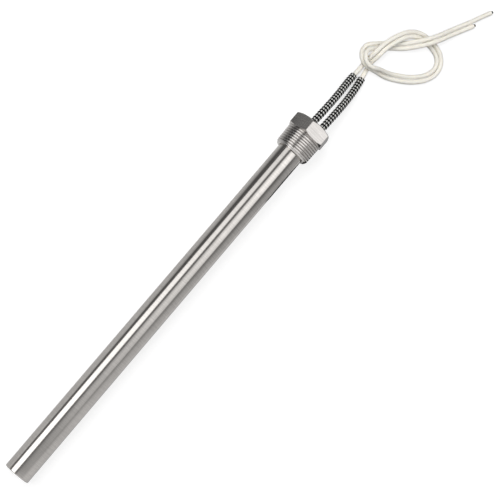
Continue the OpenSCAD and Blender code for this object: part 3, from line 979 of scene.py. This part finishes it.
# Places of the lamps, the point that they face, and their size
LAMPS = {"key": (0.2, 1.3, 1.3), "fill": (0.4, -1.0, 1.6)}
LAMP_AIM = (0.05, 0.0, 0.0)
LAMP_SIZE = (1.6, 1.0)

# Glow of the studio tent by the angle from overhead in degrees, positive on the window's side: far ahead of
# the tip, over the tip, over the plug and far behind it. A dark skirting, the window, a gap, a strip lamp
# that fades towards the tip, and the far side
TENT_STOPS = [
    (90, 0.26, 0.26, 0.15, 0.15), (80, 0.26, 0.26, 0.15, 0.15), (78, 2.4, 2.7, 0.9, 1.4),
    (73, 2.4, 2.7, 1.4, 1.4), (50, 2.4, 2.7, 1.4, 1.4), (44, 2.4, 2.7, 0.6, 1.4),
    (40, 0.15, 0.26, 0.2, 0.2), (31, 0.15, 0.26, 0.24, 0.2), (22, 1.1, 0.36, 1.5, 1.8),
    (6, 1.1, 0.46, 2.05, 2.0), (-14, 1.1, 0.52, 1.75, 2.0), (-21, 1.1, 0.54, 1.35, 2.0),
    (-27, 1.1, 0.56, 0.15, 1.8), (-35, 1.1, 0.66, 0.18, 1.6), (-44, 1.1, 0.8, 0.3, 1.4),
    (-55, 1.0, 0.87, 0.46, 1.2), (-76, 1.0, 0.87, 0.58, 1.0), (-90, 1.0, 0.87, 0.58, 0.8),
]
TENT_PLACES = (-1.0, -0.28, 0.46, 1.2)
TENT_RADIUS = 2.0
TENT_HALF_LENGTH = 3.0

# Mats that darken the floor in reflections, on the window's side and on the far side: where one starts beside
# the tip and beside the plug, as x and y, and by the multiple of y its glow beside the tip and the plug
MATS = {
    "window_mat": (((-0.17, 0.085), (0.13, 0.026)),
                   [(0.6, 0.82, 0.8), (1.0, 0.82, 0.55), (1.5, 0.2, 0.2), (2.2, 0.14, 0.14)]),
    "far_mat": (((0.1, -0.012), (0.135, -0.012)),
                [(1.0, 0.5, 0.5), (1.9, 0.55, 0.36), (2.7, 0.7, 0.38), (6.0, 0.8, 0.44), (9.0, 0.8, 0.44)]),
}
MAT_FAR = 1.9
MAT_HEIGHT = 0.5 * MM

# Cards that the hexagon's top, its window side and the grooves and crests on the thread's far side reflect:
# one corner, the two edges from it and the glow
CARDS = {
    "top_card": ((0.165, -0.13, 0.15), (0.105, 0, 0), (0, 0.13, 0), 1.5),
    "side_card": ((0.172, 0.09, 0.001), (0.128, 0, 0), (0, 0.31, 0), 0.27),
    "groove_card": ((0.098, -0.058, 0.001), (0.034, 0, 0), (0, 0.041, 0), 0.03),
    "crest_card": ((0.132, -0.14, 0.001), (0.03, 0, 0), (0, 0.084, 0), 1.0),
}


def bare_tree(owner):
    """The emptied node tree of a material or world."""
    owner.use_nodes = True
    owner.node_tree.nodes.clear()
    return owner.node_tree


def floor_material():
    """A pale floor: plain diffuse for the light it returns, near white with a faint shadow where it is seen,
    and a softer white in reflections."""
    material = bpy.data.materials.new("studio_floor")
    tree = bare_tree(material)
    light = add_node(tree, "ShaderNodeLightPath")
    surface = add_node(tree, "ShaderNodeBsdfDiffuse", {"Color": shaded(WHITE, FLOOR_TONE)}).outputs[0]
    for ray, shade, strength in FLOOR_SEEN:
        shadowed = add_node(tree, "ShaderNodeBsdfDiffuse", {"Color": shaded(WHITE, shade)})
        glow = add_node(tree, "ShaderNodeEmission", {"Strength": strength})
        white = add_node(tree, "ShaderNodeAddShader", {0: shadowed.outputs[0], 1: glow.outputs[0]})
        inputs = {"Fac": light.outputs[ray], 1: surface, 2: white.outputs[0]}
        surface = add_node(tree, "ShaderNodeMixShader", inputs).outputs[0]
    add_node(tree, "ShaderNodeOutputMaterial", {"Surface": surface})
    return material


def glow_material():
    """Light from a reflector, as strong as the glow number of its own points."""
    material = bpy.data.materials.new("studio_reflector")
    tree = bare_tree(material)
    strength = add_node(tree, "ShaderNodeAttribute", attribute_name="glow")
    glow = add_node(tree, "ShaderNodeEmission", {"Strength": strength.outputs["Fac"]})
    add_node(tree, "ShaderNodeOutputMaterial", {"Surface": glow.outputs[0]})
    return material


def sky_world(strength):
    """A dim sky for the light that it gives, and white where the camera, metal or glass sees it."""
    world = bpy.data.worlds.new("sky")
    tree = bare_tree(world)
    light = add_node(tree, "ShaderNodeLightPath").outputs
    seen = light["Is Camera Ray"]
    for ray in ("Is Glossy Ray", "Is Transmission Ray"):
        seen = add_node(tree, "ShaderNodeMath", {0: seen, 1: light[ray]}, operation="MAXIMUM").outputs[0]
    dim = add_node(tree, "ShaderNodeBackground", {"Color": shaded(WHITE), "Strength": strength})
    white = add_node(tree, "ShaderNodeBackground", {"Color": shaded(WHITE)})
    choose = add_node(tree, "ShaderNodeMixShader", {"Fac": seen, 1: dim.outputs[0], 2: white.outputs[0]})
    add_node(tree, "ShaderNodeOutputWorld", {"Surface": choose.outputs[0]})
    return world


def reflector(name, points, glow, material):
    """A stage sheet that only reflections see: a grid of points with a glow for each."""
    quads = grid_quads(*points.shape[:2], close_columns=False)
    sheet = make_piece(name, points, quads, weights={"glow": glow})
    sheet.data.materials.append(material)
    for ray in ("camera", "diffuse", "shadow", "transmission", "volume_scatter"):
        setattr(sheet, f"visible_{ray}", False)
    return sheet


def stand(thing, place, away, side):
    """Stands a lamp or camera at a place, with its back towards away and its right hand towards side."""
    axes = np.column_stack((side, np.cross(away, side), away, place))
    thing.matrix_world = Matrix([*axes.tolist(), (0, 0, 0, 1)])


def level_side(away):
    """The level right-hand direction of something whose back is towards away."""
    return unit(np.cross((0.0, 0.0, 1.0), away))


def area_lamp(name, power):
    """A soft lamp at its place, turned towards the heater, that reflections don't show."""
    data = bpy.data.lights.new(name, "AREA")
    data.shape = "RECTANGLE"
    data.size, data.size_y = LAMP_SIZE
    data.energy = power
    lamp = bpy.data.objects.new(name, data)
    bpy.context.scene.collection.objects.link(lamp)
    away = unit(np.array(LAMPS[name]) - LAMP_AIM)
    stand(lamp, LAMPS[name], away, level_side(away))
    lamp.visible_glossy = False


class HEATER_OT_stage(bpy.types.Operator):
    """Set up the camera, the white floor, the lamps and what the metal reflects"""

    bl_idname = "heater.stage"
    bl_label = "Stage"

    def execute(self, context):
        stage = context.scene.heater_stage
        context.scene.view_settings.view_transform = "Standard"
        self.camera(context, stage)
        self.floor()
        area_lamp("key", stage.key_power)
        area_lamp("fill", stage.fill_power)
        context.scene.world = sky_world(stage.sky)
        self.tent()
        return {"FINISHED"}

    def camera(self, context, stage):
        """The camera looks from the eye to the aim, with level up turned by the roll."""
        data = bpy.data.cameras.new("camera")
        data.lens = stage.lens
        data.sensor_width = SENSOR_WIDTH
        camera = bpy.data.objects.new("camera", data)
        context.scene.collection.objects.link(camera)
        away = unit(np.array(stage.eye) - np.array(stage.aim))
        level = level_side(away)
        right = math.cos(stage.roll) * level + math.sin(stage.roll) * np.cross(away, level)
        stand(camera, stage.eye, away, right)
        context.scene.camera = camera

    def floor(self):
        """A wide floor at the height that the heater lies on."""
        corners = FLOOR_HALF * np.array([[-1, -1, 0], [1, -1, 0], [1, 1, 0], [-1, 1, 0]])
        floor = make_piece("studio_floor", corners, np.array([[0, 1, 2, 3]]))
        floor.data.materials.append(floor_material())

    def tent(self):
        """Reflectors: half a tube over the heater, whose glow follows the stops and their places along it and
        stays the same beyond them, mats and cards."""
        table = np.array(TENT_STOPS[::-1])
        stops = np.radians(table[:, 0])
        angle = np.unique(np.concatenate((np.linspace(-math.pi / 2, math.pi / 2, TENT_COLUMNS), stops)))
        x = np.array((-TENT_HALF_LENGTH, *TENT_PLACES, TENT_HALF_LENGTH))
        glow = np.column_stack([np.interp(angle, stops, column) for column in table.T[1:]])
        glow = np.pad(glow, ((0, 0), (1, 1)), mode="edge")
        across, up = TENT_RADIUS * np.sin(angle)[:, None], TENT_RADIUS * np.cos(angle)[:, None]
        material = glow_material()
        reflector("studio_tent", np.stack(np.broadcast_arrays(x, across, up), axis=-1), glow, material)
        for name, (ends, stops) in MATS.items():
            self.mat(name, np.array(ends), np.array(stops), material)
        for name, (corner, first, second, strength) in CARDS.items():
            across = np.array(((0, 0, 0), second))[:, None]
            corners = np.array(corner) + np.array(((0, 0, 0), first))[None, :] + across
            reflector(name, corners, np.full(4, strength), material)

    def mat(self, name, ends, stops, material):
        """A sheet just over the floor that starts beside the heater along a line, changes away from it and
        stays the same beyond the line's ends."""
        x = np.array((-TENT_HALF_LENGTH, *ends[:, 0], TENT_HALF_LENGTH))
        start = np.pad(ends[:, 1], 1, mode="edge")
        y = np.column_stack((start[:, None] * stops[:, 0], np.copysign(MAT_FAR, start)))
        glow = np.pad(stops[:, 1:].T, ((1, 1), (0, 1)), mode="edge")
        points = np.stack(np.broadcast_arrays(x[:, None], y, MAT_HEIGHT), axis=-1)
        reflector(name, points, glow, material)


class HEATER_PT_panel(bpy.types.Panel):
    """Lists the steps that build the heater"""

    bl_idname = "HEATER_PT_panel"
    bl_label = "Cartridge heater"
    bl_space_type = "VIEW_3D"
    bl_region_type = "UI"
    bl_category = "Heater"

    def draw(self, context):
        column = self.layout.column()
        for operator in OPERATORS:
            column.operator(operator.bl_idname, text=operator.bl_label)
        for name, _ in GROUPS:
            group = getattr(context.scene, name)
            column.separator()
            for key in group.bl_rna.properties.keys():
                if key not in ("name", "rna_type"):
                    column.prop(group, key)


GROUPS = [
    ("heater_sheath", HeaterSheathSizes),
    ("heater_plug", HeaterPlugSizes),
    ("heater_leads", HeaterLeadSizes),
    ("heater_coil", HeaterCoilSizes),
    ("heater_colours", HeaterColours),
    ("heater_stage", HeaterStage),
]
OPERATORS = [
    HEATER_OT_stage,
    HEATER_OT_leads,
    HEATER_OT_sleeves,
    HEATER_OT_conductors,
    HEATER_OT_sheath,
    HEATER_OT_plug,
    HEATER_OT_core,
]


def register():
    """Registers the property groups, operators and panel."""
    for name, group in GROUPS:
        bpy.utils.register_class(group)
        setattr(bpy.types.Scene, name, bpy.props.PointerProperty(type=group))
    for cls in (*OPERATORS, HEATER_PT_panel):
        bpy.utils.register_class(cls)


def unregister():
    """Removes what register added."""
    for cls in (HEATER_PT_panel, *reversed(OPERATORS)):
        bpy.utils.unregister_class(cls)
    for name, group in reversed(GROUPS):
        delattr(bpy.types.Scene, name)
        bpy.utils.unregister_class(group)


def main():
    """Builds the heater step by step."""
    register()
    bpy.ops.heater.stage()
    bpy.ops.heater.leads()
    bpy.ops.heater.sleeves()
    bpy.ops.heater.conductors()
    bpy.ops.heater.sheath()
    bpy.ops.heater.plug()
    bpy.ops.heater.core()


if __name__ == "__main__":
    main()
